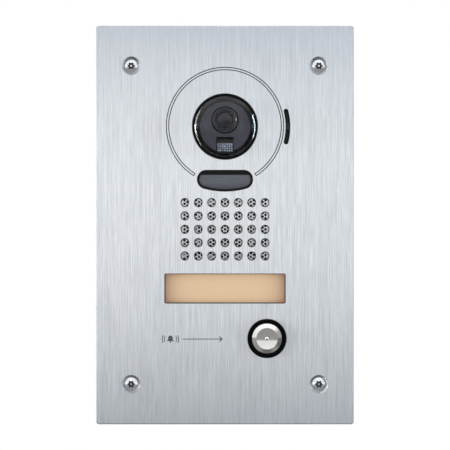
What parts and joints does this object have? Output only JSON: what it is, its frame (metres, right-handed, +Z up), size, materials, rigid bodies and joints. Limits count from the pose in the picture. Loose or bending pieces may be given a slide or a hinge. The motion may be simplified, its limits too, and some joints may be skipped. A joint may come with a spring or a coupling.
{
  "type": "door intercom panel",
  "caption": "Flush steel door station with a tilting camera behind a dome, round speaker holes, a lit name window and a spring-returned call button.",
  "frame": {"origin": "centre of the four fixing screws, on the back face of the steel plate", "axes": "+X right and +Z up as seen from the street, +Y into the wall; the front faces -Y"},
  "size_m": [0.135, 0.0462, 0.209],
  "materials": {
    "plate_steel": "vertical fine brushed",
    "screw_steel": "turned and passivated",
    "zinc_steel": "zinc plated",
    "button_steel": "turned, satin",
    "mesh_steel": "perforated sheet, satin",
    "gasket_rubber": "matte",
    "foam": "closed-cell foam",
    "surround_rubber": "satin",
    "housing_plastic": "fine moulded texture",
    "cover_plastic": "fine moulded texture",
    "camera_plastic": "fine matte",
    "lens_ring_plastic": "satin gloss",
    "bezel_plastic": "gloss black",
    "window_frame_plastic": "gloss black",
    "clear_plastic": "polished clear polycarbonate",
    "lamp_plastic": "moulded pillows",
    "smoked_plastic": "smoked satin",
    "coated_glass": "coated lens glass",
    "name_acrylic": "clear acrylic",
    "card_paper": "uncoated card, backlit",
    "guide_acrylic": "frosted acrylic",
    "led_resin": "clear resin over phosphor",
    "board_green": "solder mask over glass laminate",
    "chip_epoxy": "moulded epoxy",
    "can_aluminium": "drawn can",
    "connector_nylon": "natural nylon",
    "switch_plastic": "moulded",
    "plunger_plastic": "acetal",
    "terminal_plastic": "moulded green",
    "spring_steel": "drawn wire",
    "magnet": "sintered, dull",
    "cone_paper": "pressed pulp",
    "coil_copper": "enamelled copper wire",
    "lead_insulation": "PVC",
    "ribbon_film": "polyimide film",
    "core_ferrite": "ferrite with tape"
  },
  "bodies": {
    "panel": {"front_plate": "plate_steel", "tamper_screws": "screw_steel", "wall_gasket": "gasket_rubber", "weld_studs": "zinc_steel", "stud_nuts": "zinc_steel", "chassis": "housing_plastic", "chassis_gasket": "foam", "rear_cover": "cover_plastic", "cover_screws": "zinc_steel", "inner_screws": "zinc_steel", "dome_window": "clear_plastic", "dome_seal": "gasket_rubber", "camera_bracket": "housing_plastic", "camera_ribbon": "ribbon_film", "window_bezel": "window_frame_plastic", "sensor_window": "smoked_plastic", "sensor_board": "board_green", "light_sensors": "led_resin", "speaker_mesh": "mesh_steel", "speaker_frame": "zinc_steel", "speaker_magnet": "magnet", "speaker_yoke": "zinc_steel", "speaker_surround": "surround_rubber", "speaker_leads": "lead_insulation", "mic_boot": "gasket_rubber", "microphone": "can_aluminium", "name_window": "name_acrylic", "name_card": "card_paper", "light_guide": "guide_acrylic", "backlight_board": "board_green", "backlight_leds": "led_resin", "button_bezel": "bezel_plastic", "bezel_nut": "housing_plastic", "button_spring": "spring_steel", "call_switch": "switch_plastic", "main_board": "board_green", "board_chips": "chip_epoxy", "board_capacitors": "can_aluminium", "board_connectors": "connector_nylon", "line_transformer": "core_ferrite", "terminal_block": "terminal_plastic", "terminal_screws": "zinc_steel"},
    "camera_head": {"camera_face": "camera_plastic", "camera_back_shell": "camera_plastic", "lens_ring": "lens_ring_plastic", "lens_barrel": "camera_plastic", "lens_glass": "coated_glass", "lamp_lens": "lamp_plastic", "lamp_board": "board_green", "camera_board": "board_green", "pivot_pins": "screw_steel"},
    "tilt_lever": {"tilt_lever": "housing_plastic", "lever_clip": "zinc_steel"},
    "call_button": {"button_cap": "button_steel", "button_stem": "switch_plastic", "stem_clip": "spring_steel", "button_o_ring": "gasket_rubber"},
    "switch_plunger": {"switch_plunger": "plunger_plastic"},
    "speaker_cone": {"speaker_cone": "cone_paper", "voice_coil": "coil_copper"}
  },
  "joints": [
    {"name": "call_button_press", "type": "slide", "parent": "panel", "child": "call_button", "axis": [0, 1, 0], "range_m": [0, 0.0015], "stiffness_N_per_m": 1200, "springref_m": -0.001, "deforming": ["button_spring"]},
    {"name": "switch_plunger_travel", "type": "slide", "parent": "panel", "child": "switch_plunger", "axis": [0, 1, 0], "range_m": [0, 0.0015]},
    {"name": "tilt_lever_swing", "type": "hinge", "parent": "panel", "child": "tilt_lever", "pos_m": [0, 0.0182, 0.0516], "axis": [0, 1, 0], "range_deg": [-13, 13]},
    {"name": "camera_tilt", "type": "hinge", "parent": "panel", "child": "camera_head", "pos_m": [0, 0.0052, 0.0516], "axis": [1, 0, 0], "range_deg": [-10, 10], "deforming": ["camera_ribbon"]},
    {"name": "speaker_cone_travel", "type": "slide", "parent": "panel", "child": "speaker_cone", "axis": [0, 1, 0], "range_m": [-0.0004, 0.0004], "stiffness_N_per_m": 1500, "deforming": ["speaker_surround"]}
  ],
  "couplings": [
    {"joint": "switch_plunger_travel", "follows": "call_button_press", "ratio": 1},
    {"joint": "camera_tilt", "follows": "tilt_lever_swing", "ratio": 0.769}
  ]
}
